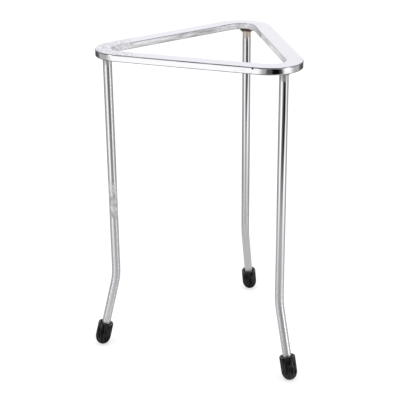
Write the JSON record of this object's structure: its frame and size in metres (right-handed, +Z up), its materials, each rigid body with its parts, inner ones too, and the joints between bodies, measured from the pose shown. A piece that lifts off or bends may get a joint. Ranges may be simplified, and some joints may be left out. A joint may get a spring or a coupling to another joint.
{
  "type": "lab tripod stand",
  "caption": "Lab tripod stand: a triangular ring of flat bar on bent rod legs that splay outward into rubber feet.",
  "frame": {"origin": "middle of the footprint's box, on the surface that the stand stands on", "axes": "+Z up, +Y from the ring's front side towards the back leg, +X towards the right leg"},
  "size_m": [0.1536, 0.1378, 0.22],
  "materials": {
    "ring_chrome": "bright plated, lightly pitted",
    "rod_chrome": "bright plated, drawn rod",
    "weld_metal": "plated weld, rusty at the back leg",
    "foot_rubber": "moulded black rubber, satin"
  },
  "bodies": {
    "root": {"top_ring": "ring_chrome", "leg_back": "rod_chrome", "leg_left": "rod_chrome", "leg_right": "rod_chrome", "weld_back": "weld_metal", "weld_left": "weld_metal", "weld_right": "weld_metal", "foot_back": "foot_rubber", "foot_left": "foot_rubber", "foot_right": "foot_rubber"}
  },
  "joints": []
}
